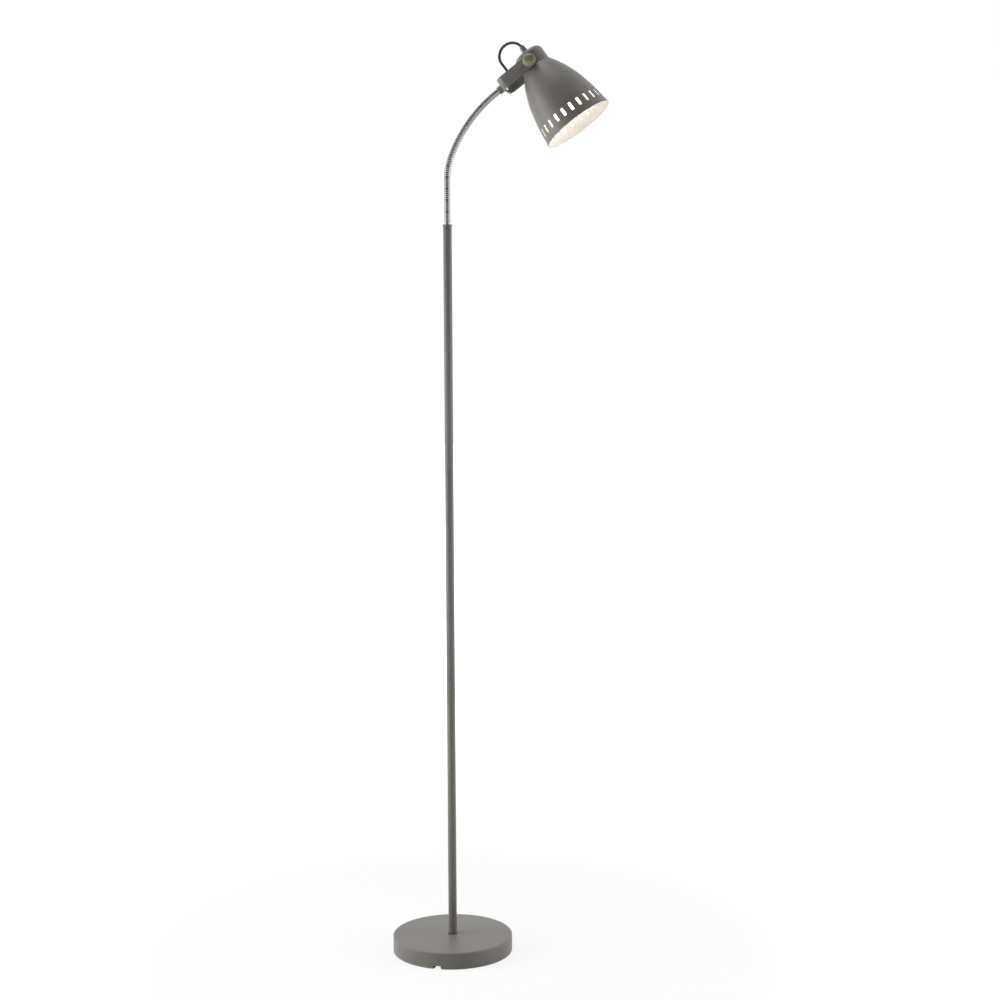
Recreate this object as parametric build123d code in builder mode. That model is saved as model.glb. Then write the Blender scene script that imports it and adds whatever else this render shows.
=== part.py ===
from build123d import *
from math import cos, degrees, pi, radians, sin, sqrt, tan
import os

os.makedirs("parts", exist_ok=True)

# Gooseneck reading floor lamp, millimetres, +Z up. The origin is on the floor under the middle of
# the base. The neck bends in the XZ plane and the head hangs out over +X.

# ---- Driving dimensions -------------------------------------------------------------------------

# Base: a pressed steel cover over an iron weight, on a thin foam pad
base_diameter = 200.0
base_height = 28.0
cover_wall = 1.2
cover_edge_radius = 2.5
cover_floor_gap = 0.8
pad_thickness = 1.5
pad_setback = 5.0
weight_play = 0.8
weight_plate = 20.0
weight_rim_width = 10.0
weight_hub_radius = 26.0
nut_recess_radius = 17.0
nut_recess_depth = 9.0
cord_channel_width = 10.0
cord_channel_height = 8.0
cord_notch_width = 14.0
cord_notch_height = 6.0
cord_notch_corner = 2.0
cord_bush_length = 9.0
cord_bush_bore = 3.2
cord_bush_setback = 14.0

# Column: three tubes on a hollow stud, joined by sleeves
stud_radius = 5.0
stud_bore = 3.7
stud_reach = 22.0
stud_below_nut = 1.5
base_nut_flats = 17.0
base_nut_height = 5.0
base_washer_radius = 13.0
base_washer_thickness = 1.6
foot_washer_radius = 9.0
foot_washer_thickness = 1.0
pole_diameter = 14.0
pole_wall = 1.2
pole_section_length = 392.8
pole_sections = 3
insert_play = 0.05
foot_bush_length = 24.0
joiner_length = 56.0
joiner_bore = 4.2
end_cap_radius = 7.8
end_cap_rim = 3.5
end_cap_spigot = 18.0
edge_chamfer = 0.6

# Gooseneck: short ribbed links along a straight and two arcs, with an open groove between links
neck_diameter = 10.0
neck_bore = 3.0
neck_stem_show = 2.1
neck_stem_radius = 4.0
neck_stem_depth = 14.0
neck_straight = 67.8
neck_first_radius = 106.3
neck_first_turn = 22.3
neck_second_radius = 228.7
neck_end_straight = 4.5
neck_hinges = 12
neck_ribs_per_link = 2
neck_groove = 0.85
neck_groove_depth = 0.7
neck_groove_slope = 0.6
neck_bore_stations = 3
arm_rise = 36.6

# Yoke: a steel strip bent to a U, held to the neck by a ferrule, a hollow tail and a nut
ferrule_length = 9.0
ferrule_radius = 6.6
yoke_width = 20.0
yoke_thickness = 2.5
yoke_inner_gap = 54.0
yoke_bend_radius = 12.0
yoke_reach = 61.9
tail_radius = 5.0
tail_bore = 3.4
tail_in_ferrule = 5.0
tail_past_nut = 0.4
yoke_nut_flats = 14.0
yoke_nut_height = 3.0
cable_bush_flange = 4.4
cable_bush_flange_height = 1.2
cable_bush_length = 6.0

# Pivot: a stud, a saddle spacer, a washer, a nut and a hand knob on each side
pivot_above_bell = 8.5
pivot_stud_radius = 2.0
pivot_running_fit = 0.05
arm_play = 0.15
spacer_radius = 6.0
arm_washer_radius = 7.0
arm_washer_thickness = 1.0
pivot_nut_flats = 7.0
pivot_nut_height = 2.4
stud_inner_reach = 20.4
knob_diameter = 22.0
knob_length = 8.8
knob_flutes = 10
knob_flute_radius = 2.6
knob_flute_depth = 1.1
knob_edge = 1.2
knob_stud_cover = 3.0

# Head: bell shade with slots round the mouth, and a cap over the lampholder
rim_radius = 59.0
bell_top_height = 113.8
bell_skirt_radius = 54.4
bell_skirt_height = 35.0
bell_shoulder_radius = 25.0
bell_shoulder_lean = 42.0
# Shares of the bell's fall in radius and of its rise, from the skirt to the shoulder
bell_shares = [(0.0, 0.0), (0.095, 0.167), (0.221, 0.372), (0.395, 0.559), (0.66, 0.782), (1.0, 1.0)]
shade_wall = 1.0
hem_height = 2.6
hem_thickness = 0.8
slot_count = 24
slot_length = 13.0
slot_width = 4.4
slot_corner = 1.2
slot_centre_height = 19.0
slot_first_angle = 8.0
cap_radius = 24.6
cap_wall = 1.0
cap_height = 27.5
cap_edge_radius = 3.5

# Lampholder and bulb
holder_skirt_radius = 19.5
holder_wall = 3.4
shade_hole_play = 0.3
holder_collar_radius = 22.4
holder_collar_height = 2.0
holder_dome_radius = 17.4
holder_dome_wall = 1.6
holder_top_wall = 3.2
holder_dome_edge = 4.0
holder_mouth_depth = 24.0
holder_top_gap = 2.3
shade_ring_radius = 22.6
shade_ring_height = 6.0
nipple_radius = 4.0
nipple_bore = 2.8
nipple_in_grip = 4.0
cap_nut_flats = 13.0
sleeve_wall = 0.8
sleeve_setback = 6.5
bulb_seat_above_flange = 7.0
contact_radius = 3.0
contact_height = 3.0
contact_bore = 1.4
bulb_cap_radius = 13.1
bulb_cap_length = 24.0
bulb_cap_wall = 0.6
bulb_cap_taper = 3.0
bulb_tip_radius = 4.5
bulb_tip_height = 1.2
bulb_tip_taper = 20.0
bulb_thread_play = 0.4
bulb_contact_gap = 0.2
bulb_globe_radius = 30.0
bulb_glass_wall = 0.9
bulb_length = 104.0
bulb_neck_angle = 35.0
bulb_neck_radius = 13.6

# Cable loop from the yoke to the cap: headings from the arm's direction in degrees, and run lengths
cable_diameter = 4.4
cable_play = 0.3
cable_runs = [
    (0.0, 8.0),
    (29.0, 8.0),
    (58.0, 8.0),
    (86.0, 12.6),
    (94.0, 12.6),
    (60.0, 11.2),
    (30.0, 11.2),
    (0.0, 11.2),
    (-30.0, 11.2),
    (-60.0, 11.2),
    (-90.0, 8.4),
]
cable_in_grip = 8.4
cable_bend_share = 0.45
grip_length = 14.0
grip_base_radius = 5.6
grip_tip_radius = 3.9

# ---- Heights of the column ----------------------------------------------------------------------

base_radius = base_diameter / 2
pole_radius = pole_diameter / 2
pole_bore = pole_radius - pole_wall
cover_inside_top = base_height - cover_wall
weight_radius = base_radius - cover_wall - weight_play
weight_plate_top = pad_thickness + weight_plate
recess_top = pad_thickness + nut_recess_depth
base_nut_top = recess_top - base_washer_thickness
stud_bottom = base_nut_top - base_nut_height - stud_below_nut
pole_bottom = base_height + foot_washer_thickness
pole_top = pole_bottom + pole_sections * pole_section_length
end_cap_top = pole_top + end_cap_rim
neck_bottom = end_cap_top + neck_stem_show
insert_radius = pole_bore - insert_play
stud_hole = stud_radius + insert_play

BASED = (Align.CENTER, Align.CENTER, Align.MIN)


def tube_between(bottom, top, outside, inside):
    """Draw a plain ring or sleeve on the Z axis in the open builder."""
    with BuildSketch(Plane.XY.offset(bottom)) as ring:
        Circle(outside)
        Circle(inside, mode=Mode.SUBTRACT)
    extrude(ring.sketch, amount=top - bottom)


def hex_nut_between(plane, height, flats, hole):
    """Draw a hexagon nut on a plane in the open builder."""
    with BuildSketch(plane) as hexagon:
        RegularPolygon(flats / 2, 6, major_radius=False)
        Circle(hole, mode=Mode.SUBTRACT)
    extrude(hexagon.sketch, amount=height)


# ---- Base ---------------------------------------------------------------------------------------

# Pad: foam disc that the lamp stands on
with BuildPart() as base_pad:
    Cylinder(base_radius - pad_setback, pad_thickness, align=BASED)

# Weight: cast disc with a raised rim and hub, a nut recess and a cord channel underneath
rim_inside = weight_radius - weight_rim_width
with BuildPart() as base_weight:
    with BuildSketch(Plane.XZ):
        with BuildLine():
            Polyline(
                (stud_hole, pad_thickness),
                (weight_radius, pad_thickness),
                (weight_radius, cover_inside_top),
                (rim_inside, cover_inside_top),
                (rim_inside, weight_plate_top),
                (weight_hub_radius, weight_plate_top),
                (weight_hub_radius, cover_inside_top),
                (stud_hole, cover_inside_top),
                close=True,
            )
        make_face()
    revolve(axis=Axis.Z)
    rim_edge = base_weight.edges().filter_by(GeomType.CIRCLE).group_by(Axis.Z)[-1].sort_by(SortBy.LENGTH)[-1]
    chamfer(rim_edge, cover_edge_radius)
    with BuildSketch(Plane.XY.offset(pad_thickness)):
        Circle(nut_recess_radius)
    extrude(amount=nut_recess_depth, mode=Mode.SUBTRACT)
    with BuildSketch(Plane.XY.offset(pad_thickness)):
        with Locations((0, -base_radius / 2)):
            Rectangle(cord_channel_width, base_radius)
    extrude(amount=cord_channel_height, mode=Mode.SUBTRACT)

# Cover: pressed cup, open below, with a rounded top edge and a cord notch on the -Y side
with BuildPart() as base_cover:
    with BuildSketch(Plane.XY.offset(cover_floor_gap)):
        Circle(base_radius)
    extrude(amount=base_height - cover_floor_gap)
    fillet(base_cover.edges().group_by(Axis.Z)[-1], cover_edge_radius)
    offset(amount=-cover_wall, openings=base_cover.faces().sort_by(Axis.Z)[0])
    with BuildSketch(Plane.XY):
        Circle(stud_hole)
    extrude(amount=base_height, mode=Mode.SUBTRACT)
    with BuildSketch(Plane.XZ.offset(base_radius / 2)):
        with Locations((0, cover_floor_gap + (cord_notch_height - cover_floor_gap) / 2)):
            Rectangle(cord_notch_width, cord_notch_height - cover_floor_gap)
    extrude(amount=base_radius, mode=Mode.SUBTRACT)
    notch_corners = base_cover.edges().filter_by(Axis.Y).group_by(Axis.Z)[-1]
    fillet(notch_corners, cord_notch_corner)

# Stud, washer and nut that hold the column to the base
with BuildPart() as base_stud:
    tube_between(stud_bottom, pole_bottom + stud_reach, stud_radius, stud_bore)

with BuildPart() as base_washer:
    tube_between(base_nut_top, recess_top, base_washer_radius, stud_hole)

with BuildPart() as base_nut:
    nut_plane = Plane.XY.offset(base_nut_top - base_nut_height)
    hex_nut_between(nut_plane, base_nut_height, base_nut_flats, stud_hole)

# Bush for the mains cord, set back in the channel
with BuildPart() as cord_bush:
    with BuildSketch(Plane.XZ.offset(base_radius - cord_bush_setback)):
        with Locations((0, pad_thickness + cord_channel_height / 2)):
            Rectangle(cord_channel_width, cord_channel_height)
            Circle(cord_bush_bore, mode=Mode.SUBTRACT)
    extrude(amount=-cord_bush_length)

# ---- Column -------------------------------------------------------------------------------------

with BuildPart() as foot_washer:
    tube_between(base_height, pole_bottom, foot_washer_radius, stud_hole)

with BuildPart() as foot_bush:
    tube_between(pole_bottom, pole_bottom + foot_bush_length, insert_radius, stud_hole)

pole_names = ["pole_lower", "pole_middle", "pole_upper"]
for index, pole_name in enumerate(pole_names):
    section_bottom = pole_bottom + index * pole_section_length
    with BuildPart() as pole:
        tube_between(section_bottom, section_bottom + pole_section_length, pole_radius, pole_bore)
    pole.part.label = pole_name
    export_step(pole.part, f"parts/{pole_name}.step")

for index, joiner_name in enumerate(["pole_joiner_lower", "pole_joiner_upper"]):
    joint_height = pole_bottom + (index + 1) * pole_section_length
    with BuildPart() as joiner:
        half = joiner_length / 2
        tube_between(joint_height - half, joint_height + half, insert_radius, joiner_bore)
    joiner.part.label = joiner_name
    export_step(joiner.part, f"parts/{joiner_name}.step")

# End bush: a rim on the column's top edge over a spigot in its bore
stem_hole = neck_stem_radius + insert_play
with BuildPart() as pole_end_bush:
    tube_between(pole_top, end_cap_top, end_cap_radius, stem_hole)
    tube_between(pole_top - end_cap_spigot, pole_top, insert_radius, stem_hole)
    chamfer(pole_end_bush.edges().group_by(Axis.Z)[-1].sort_by(SortBy.LENGTH)[-1], edge_chamfer)

with BuildPart() as neck_stem:
    tube_between(end_cap_top - neck_stem_depth, neck_bottom, neck_stem_radius, neck_bore)

# ---- Gooseneck ----------------------------------------------------------------------------------

arm_tilt = 90.0 - arm_rise
neck_second_turn = arm_tilt - neck_first_turn
first_arc = radians(neck_first_turn) * neck_first_radius
second_arc = radians(neck_second_turn) * neck_second_radius
neck_length = neck_straight + first_arc + second_arc + neck_end_straight
neck_radius = neck_diameter / 2
valley_radius = neck_radius - neck_groove_depth
link_length = neck_length / (neck_hinges + 1)


def neck_station(travel):
    """Give x, z and the lean from vertical in degrees at a distance along the centreline."""
    x, z, lean = 0.0, neck_bottom, 0.0
    for length, radius in (
        (neck_straight, None),
        (first_arc, neck_first_radius),
        (second_arc, neck_second_radius),
        (neck_end_straight, None),
    ):
        step = min(travel, length)
        travel -= step
        if radius is None:
            x += step * sin(radians(lean))
            z += step * cos(radians(lean))
        else:
            new_lean = lean + degrees(step / radius)
            x += radius * (cos(radians(lean)) - cos(radians(new_lean)))
            z += radius * (sin(radians(new_lean)) - sin(radians(lean)))
            lean = new_lean
    return x, z, lean


def neck_plane(travel):
    """Give the plane square to the centreline, its X axis always along +Y."""
    x, z, lean = neck_station(travel)
    return Plane(origin=(x, 0, z), x_dir=(0, 1, 0), z_dir=(sin(radians(lean)), 0, cos(radians(lean))))


for link in range(neck_hinges + 1):
    link_start = link * link_length + (neck_groove / 2 if link else 0.0)
    link_end = (link + 1) * link_length - (neck_groove / 2 if link < neck_hinges else 0.0)
    rib_pitch = (link_end - link_start + neck_groove) / neck_ribs_per_link
    with BuildPart() as neck_link:
        for rib in range(neck_ribs_per_link):
            rib_start = link_start + rib * rib_pitch
            rib_end = rib_start + rib_pitch - neck_groove
            for travel, radius in (
                (rib_start, valley_radius),
                (rib_start + neck_groove_slope, neck_radius),
                (rib_end - neck_groove_slope, neck_radius),
                (rib_end, valley_radius),
            ):
                with BuildSketch(neck_plane(travel)):
                    Circle(radius)
        loft(ruled=True)
        for station in range(neck_bore_stations):
            travel = link_start + (link_end - link_start) * station / (neck_bore_stations - 1)
            with BuildSketch(neck_plane(travel)):
                Circle(neck_bore)
        loft(ruled=True, mode=Mode.SUBTRACT)
    neck_link.part.label = f"neck_link_{link + 1}"
    export_step(neck_link.part, f"parts/neck_link_{link + 1}.step")

for hinge in range(1, neck_hinges + 1):
    x, z, lean = neck_station(hinge * link_length)
    print(f"neck hinge {hinge}: x {x:.3f} z {z:.3f} lean {lean:.3f}")

# ---- Frames of the yoke and the head ------------------------------------------------------------

neck_end_x, neck_end_z, neck_end_lean = neck_station(neck_length)
pivot_above_rim = bell_top_height + pivot_above_bell
cap_top = bell_top_height + cap_height
along_x = cos(radians(arm_rise))
along_z = sin(radians(arm_rise))
pivot_x = neck_end_x + (ferrule_length + yoke_reach) * along_x
pivot_z = neck_end_z + (ferrule_length + yoke_reach) * along_z
rim_x = pivot_x + pivot_above_rim * along_z
rim_z = pivot_z - pivot_above_rim * along_x
print(f"pivot {pivot_x:.3f} {pivot_z:.3f}, rim centre {rim_x:.3f} {rim_z:.3f}")

# Arm frame: X along the arms towards the head, Y as the lamp's, Z up the shade's axis
arm_frame = Plane(origin=(pivot_x, 0, pivot_z), x_dir=(along_x, 0, along_z), z_dir=(-along_z, 0, along_x))
# Head profile frame: X across the shade, Y up its axis from the rim
head_frame = Plane(origin=(rim_x, 0, rim_z), x_dir=(along_x, 0, along_z), z_dir=(0, -1, 0))
head_axis = Axis(origin=(rim_x, 0, rim_z), direction=(-along_z, 0, along_x))
# Head floor frame: its Z runs up the shade's axis from the rim
head_floor = Plane(origin=(rim_x, 0, rim_z), x_dir=(along_x, 0, along_z), z_dir=(-along_z, 0, along_x))


def arm_section(distance):
    """Give a plane square to the arms at a distance from the pivot towards the head."""
    origin = (pivot_x + distance * along_x, 0, pivot_z + distance * along_z)
    return Plane(origin=origin, x_dir=(0, 1, 0), z_dir=(along_x, 0, along_z))


def arm_tube(start, end, outside, inside):
    """Draw a ring round the neck's axis in the open builder."""
    with BuildSketch(arm_section(start)) as ring:
        Circle(outside)
        Circle(inside, mode=Mode.SUBTRACT)
    extrude(ring.sketch, amount=end - start)


def head_tube(bottom, top, outside, inside):
    """Draw a ring round the shade's axis in the open builder."""
    with BuildSketch(head_floor.offset(bottom)) as ring:
        Circle(outside)
        Circle(inside, mode=Mode.SUBTRACT)
    extrude(ring.sketch, amount=top - bottom)


# ---- Yoke ---------------------------------------------------------------------------------------

web_outside = -yoke_reach
web_inside = web_outside + yoke_thickness
arm_inside = yoke_inner_gap / 2
arm_outside = arm_inside + yoke_thickness
yoke_eye_radius = yoke_width / 2
tail_hole = tail_radius + insert_play
tail_start = web_outside - tail_in_ferrule
tail_end = web_inside + yoke_nut_height + tail_past_nut

# Ferrule: collar between the gooseneck and the yoke's web, with a socket for the tail
with BuildPart() as neck_ferrule:
    arm_tube(web_outside - ferrule_length, tail_start, ferrule_radius, tail_bore)
    arm_tube(tail_start, web_outside, ferrule_radius, tail_hole)
    chamfer(neck_ferrule.edges().filter_by(GeomType.CIRCLE).sort_by(Axis.X)[0:1], edge_chamfer)

with BuildPart() as yoke_tail:
    arm_tube(tail_start, tail_end, tail_radius, tail_bore)

with BuildPart() as yoke_nut:
    hex_nut_between(arm_section(web_inside), yoke_nut_height, yoke_nut_flats, tail_hole)

# Yoke: U-bent strip with round eyes, one hole in the web and one in each arm
with BuildPart() as yoke:
    with BuildSketch(arm_frame.offset(-yoke_width / 2)) as strip:
        with Locations(((yoke_eye_radius - yoke_reach) / 2, 0)):
            Rectangle(yoke_reach + yoke_eye_radius, 2 * arm_outside)
        fillet(strip.vertices().group_by(Axis.X)[0], yoke_bend_radius)
    extrude(amount=yoke_width)
    with BuildSketch(arm_frame.offset(-yoke_width / 2)) as opening:
        with Locations(((yoke_eye_radius + web_inside) / 2, 0)):
            Rectangle(yoke_eye_radius - web_inside, 2 * arm_inside)
        fillet(opening.vertices().group_by(Axis.X)[0], yoke_bend_radius - yoke_thickness)
    extrude(amount=yoke_width, mode=Mode.SUBTRACT)
    arm_side = Plane(origin=(pivot_x, 0, pivot_z), x_dir=(along_x, 0, along_z), z_dir=(0, -1, 0))
    with BuildSketch(arm_side):
        with Locations((-yoke_reach / 2, 0)):
            Rectangle(yoke_reach, yoke_width)
        Circle(yoke_eye_radius)
    extrude(amount=2 * arm_outside, both=True, mode=Mode.INTERSECT)
    with BuildSketch(arm_side):
        Circle(pivot_stud_radius + pivot_running_fit)
    extrude(amount=2 * arm_outside, both=True, mode=Mode.SUBTRACT)
    with BuildSketch(arm_section(web_outside)):
        Circle(tail_hole)
    extrude(amount=yoke_thickness, mode=Mode.SUBTRACT)

# Cable bush in the tail's open end
cable_radius = cable_diameter / 2
cable_hole = cable_radius + cable_play
with BuildPart() as cable_bush:
    arm_tube(tail_end, tail_end + cable_bush_flange_height, cable_bush_flange, cable_hole)
    arm_tube(tail_end - cable_bush_length, tail_end, tail_bore - insert_play, cable_hole)

# Cable: leaves the bush along the arms, climbs and loops over into the cord grip on the cap
cable_rise = sum(run * sin(radians(heading)) for heading, run in cable_runs)
cable_across = sum(run * cos(radians(heading)) for heading, run in cable_runs)
cable_x = -cable_across
cable_z = cap_top + cable_in_grip - pivot_above_rim - cable_rise
cable_points = [(cable_x, cable_z)]
for heading, run in cable_runs:
    cable_x += run * cos(radians(heading))
    cable_z += run * sin(radians(heading))
    cable_points.append((cable_x, cable_z))
cable_radii = []
for (heading, run), (next_heading, next_run) in zip(cable_runs, cable_runs[1:]):
    half_turn = radians(abs(next_heading - heading)) / 2
    cable_radii.append(cable_bend_share * min(run, next_run) / tan(half_turn))
print("cable points", [(round(x, 2), round(z, 2)) for x, z in cable_points])
print("cable bend radii", [round(radius, 1) for radius in cable_radii])
with BuildPart() as head_cable:
    with BuildLine(arm_side):
        cable_path = FilletPolyline(*cable_points, radius=cable_radii)
    with BuildSketch(Plane(origin=cable_path @ 0, z_dir=cable_path % 0)):
        Circle(cable_radius)
    sweep()
cable_expected = cable_path.length * pi * cable_radius**2
print(f"cable length {cable_path.length:.2f}, volume {head_cable.part.volume:.1f} of {cable_expected:.1f}")

# ---- Head ---------------------------------------------------------------------------------------

cap_inside = cap_radius - cap_wall
cap_inside_top = cap_top - cap_wall
holder_top = cap_inside_top - holder_top_gap
holder_mouth = bell_top_height - holder_mouth_depth
shade_hole = holder_skirt_radius + shade_hole_play
nipple_hole = nipple_radius + insert_play
bell_fall = bell_skirt_radius - bell_shoulder_radius
bell_rise = bell_top_height - bell_skirt_height
bell_curve = [
    (bell_skirt_radius - fall * bell_fall, bell_skirt_height + rise * bell_rise) for fall, rise in bell_shares
]


def bell_points(inset):
    """Give the bell's curve moved inwards square to itself."""
    points = []
    last = len(bell_curve) - 1
    for number, (radius, height) in enumerate(bell_curve):
        before = bell_curve[max(number - 1, 0)]
        after = bell_curve[min(number + 1, last)]
        run_radius, run_height = after[0] - before[0], after[1] - before[1]
        size = sqrt(run_radius**2 + run_height**2)
        points.append((radius - inset * run_height / size, height + inset * run_radius / size))
    return points


# Shade: bell with a hemmed rim, a clamping flange round the holder and a row of slots
flange_bottom = bell_top_height - shade_wall
bell_outer = bell_points(0.0)
bell_inner = bell_points(shade_wall)
bell_inner[-1] = (bell_shoulder_radius - 2 * shade_wall, flange_bottom)
skirt_lean = (rim_radius - bell_skirt_radius) / bell_skirt_height
skirt_slope = Vector(-skirt_lean, 1)
shoulder_slope = Vector(-sin(radians(bell_shoulder_lean)), cos(radians(bell_shoulder_lean)))
hem_inside = rim_radius - shade_wall - hem_thickness
wall_at_hem = rim_radius - shade_wall - skirt_lean * hem_height
with BuildPart() as shade:
    with BuildSketch(head_frame):
        with BuildLine():
            Line((rim_radius, 0), bell_outer[0])
            Spline(*bell_outer, tangents=[skirt_slope, shoulder_slope])
            Line(bell_outer[-1], (shade_hole, bell_top_height))
            Line((shade_hole, bell_top_height), (shade_hole, flange_bottom))
            Line((shade_hole, flange_bottom), bell_inner[-1])
            Spline(*reversed(bell_inner), tangents=[-shoulder_slope, -skirt_slope])
            Line(bell_inner[0], (wall_at_hem, hem_height))
            Polyline((wall_at_hem, hem_height), (hem_inside, hem_height), (hem_inside, 0), (rim_radius, 0))
        make_face()
    revolve(axis=head_axis)
    slot_planes = []
    for slot in range(slot_count):
        angle = radians(slot_first_angle + slot * 360.0 / slot_count)
        outward = head_floor.from_local_coords(Vector(cos(angle), sin(angle), 0)) - head_floor.origin
        centre = head_floor.from_local_coords(Vector(0, 0, slot_centre_height))
        slot_planes.append(Plane(origin=centre, x_dir=head_axis.direction, z_dir=outward))
    with BuildSketch(*slot_planes):
        RectangleRounded(slot_length, slot_width, slot_corner)
    extrude(amount=rim_radius + hem_height, mode=Mode.SUBTRACT)

# Cap: cup over the holder, with a hole for the nipple and one for each stud
with BuildPart() as cap:
    with BuildSketch(head_floor.offset(bell_top_height)):
        Circle(cap_radius)
    extrude(amount=cap_height)
    cap_edges = cap.edges().filter_by(GeomType.CIRCLE).sort_by(Axis(head_axis.position, head_axis.direction))
    fillet(cap_edges[-1], cap_edge_radius)
    cap_base = cap.faces().sort_by(Axis(head_axis.position, head_axis.direction))[0]
    offset(amount=-cap_wall, openings=cap_base)
    with BuildSketch(head_floor.offset(cap_inside_top)):
        Circle(nipple_hole)
    extrude(amount=cap_wall, mode=Mode.SUBTRACT)
    with BuildSketch(arm_side):
        Circle(pivot_stud_radius + pivot_running_fit)
    extrude(amount=2 * cap_radius, both=True, mode=Mode.SUBTRACT)

# Cap spacers: saddles between the cap and the yoke's arms
spacer_outside = arm_inside - arm_play
with BuildPart() as pivot_spacers:
    for side in (-1, 1):
        with BuildSketch(arm_side.offset(side * spacer_outside)):
            Circle(spacer_radius)
            Circle(pivot_stud_radius + pivot_running_fit, mode=Mode.SUBTRACT)
        extrude(amount=-side * (spacer_outside - cap_inside))
    with BuildSketch(head_floor.offset(bell_top_height)):
        Circle(cap_radius)
    extrude(amount=cap_height, mode=Mode.SUBTRACT)

# Nuts inside the cap on the studs
pivot_nut_outside = sqrt(cap_inside**2 - (pivot_nut_flats / sqrt(3)) ** 2) - arm_play
with BuildPart() as pivot_nuts:
    for side in (-1, 1):
        with BuildSketch(arm_side.offset(side * pivot_nut_outside)):
            RegularPolygon(pivot_nut_flats / 2, 6, major_radius=False)
            Circle(pivot_stud_radius + pivot_running_fit, mode=Mode.SUBTRACT)
        extrude(amount=-side * pivot_nut_height)

# Lampholder: skirt through the shade's hole, collar on its flange and a dome above
with BuildPart() as lampholder_shell:
    with BuildSketch(head_frame):
        with BuildLine():
            skirt_inside = holder_skirt_radius - holder_wall
            collar_top = bell_top_height + holder_collar_height
            dome_inside = holder_dome_radius - holder_dome_wall
            Polyline(
                (skirt_inside, holder_mouth),
                (holder_skirt_radius, holder_mouth),
                (holder_skirt_radius, bell_top_height),
                (holder_collar_radius, bell_top_height),
                (holder_collar_radius, collar_top),
                (holder_dome_radius, collar_top),
                (holder_dome_radius, holder_top - holder_dome_edge),
                (holder_dome_radius - holder_dome_edge, holder_top),
                (nipple_hole, holder_top),
                (nipple_hole, holder_top - holder_top_wall),
                (dome_inside, holder_top - holder_top_wall),
                (dome_inside, collar_top),
                (skirt_inside, collar_top),
                close=True,
            )
        make_face()
    revolve(axis=head_axis)

# Ring that clamps the shade's flange from below
with BuildPart() as shade_ring:
    ring_top = bell_top_height - shade_wall
    head_tube(ring_top - shade_ring_height, ring_top, shade_ring_radius, holder_skirt_radius + insert_play)

# Threaded sleeve, contact block and centre contact inside the lampholder
bulb_contact_tip = bell_top_height + bulb_seat_above_flange
sleeve_inside = bulb_cap_radius + bulb_thread_play
contact_bottom = bulb_contact_tip + bulb_contact_gap
block_bottom = contact_bottom + contact_height
block_top = holder_top - holder_top_wall
with BuildPart() as lampholder_sleeve:
    head_tube(holder_mouth + sleeve_setback, block_bottom, sleeve_inside + sleeve_wall, sleeve_inside)

with BuildPart() as lampholder_block:
    head_tube(block_bottom, block_top, dome_inside - insert_play, nipple_bore)

with BuildPart() as lampholder_contact:
    head_tube(contact_bottom, block_bottom, contact_radius, contact_bore)

# Nipple, cap nut and cord grip on the shade's axis
with BuildPart() as grip_nipple:
    head_tube(holder_top - holder_top_wall, cap_top + nipple_in_grip, nipple_radius, nipple_bore)

with BuildPart() as cap_nut:
    hex_nut_between(head_floor.offset(holder_top), holder_top_gap, cap_nut_flats, nipple_hole)

with BuildPart() as cord_grip:
    with BuildSketch(head_frame):
        with BuildLine():
            Polyline(
                (nipple_hole, cap_top),
                (grip_base_radius, cap_top),
                (grip_base_radius, cap_top + nipple_in_grip),
                (grip_tip_radius, cap_top + grip_length),
                (cable_hole, cap_top + grip_length),
                (cable_hole, cap_top + nipple_in_grip),
                (nipple_hole, cap_top + nipple_in_grip),
                close=True,
            )
        make_face()
    revolve(axis=head_axis)

# Bulb: glass globe on a cone and neck, a screw cap and its tip contact
bulb_cap_bottom = bulb_contact_tip - bulb_tip_height - bulb_cap_length
globe_centre = bulb_contact_tip - bulb_length + bulb_globe_radius


def bulb_outline(inset):
    """Give the tangent point, cone top and start of the glass, moved inwards."""
    globe = bulb_globe_radius - inset
    neck = bulb_neck_radius - inset
    lean = radians(90.0 - bulb_neck_angle)
    tangent = (globe * sin(lean), globe_centre + globe * cos(lean))
    cone_top = tangent[1] + (tangent[0] - neck) / tan(radians(bulb_neck_angle))
    return globe, neck, tangent, cone_top


globe, neck, tangent, cone_top = bulb_outline(0.0)
globe_in, neck_in, tangent_in, cone_top_in = bulb_outline(bulb_glass_wall)
with BuildPart() as bulb_glass:
    with BuildSketch(head_frame):
        with BuildLine():
            ThreePointArc((0, globe_centre - globe), (globe, globe_centre), tangent)
            Polyline(tangent, (neck, cone_top), (neck, bulb_cap_bottom), (neck_in, bulb_cap_bottom))
            Polyline((neck_in, bulb_cap_bottom), (neck_in, cone_top_in), tangent_in)
            ThreePointArc(tangent_in, (globe_in, globe_centre), (0, globe_centre - globe_in))
            Line((0, globe_centre - globe_in), (0, globe_centre - globe))
        make_face()
    revolve(axis=head_axis)

cap_shoulder = bulb_cap_bottom + bulb_cap_length - bulb_cap_taper
cap_end = bulb_cap_bottom + bulb_cap_length
with BuildPart() as bulb_cap:
    with BuildSketch(head_frame):
        with BuildLine():
            Polyline(
                (0, cap_end),
                (bulb_tip_radius, cap_end),
                (bulb_cap_radius, cap_shoulder),
                (bulb_cap_radius, bulb_cap_bottom),
                (bulb_cap_radius - bulb_cap_wall, bulb_cap_bottom),
                (bulb_cap_radius - bulb_cap_wall, cap_shoulder - bulb_cap_wall),
                (0, cap_shoulder - bulb_cap_wall),
                close=True,
            )
        make_face()
    revolve(axis=head_axis)

with BuildPart() as bulb_contact:
    with BuildSketch(head_floor.offset(cap_end)):
        Circle(bulb_tip_radius)
    extrude(amount=bulb_tip_height, taper=bulb_tip_taper)

# ---- Hand knobs ---------------------------------------------------------------------------------

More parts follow.
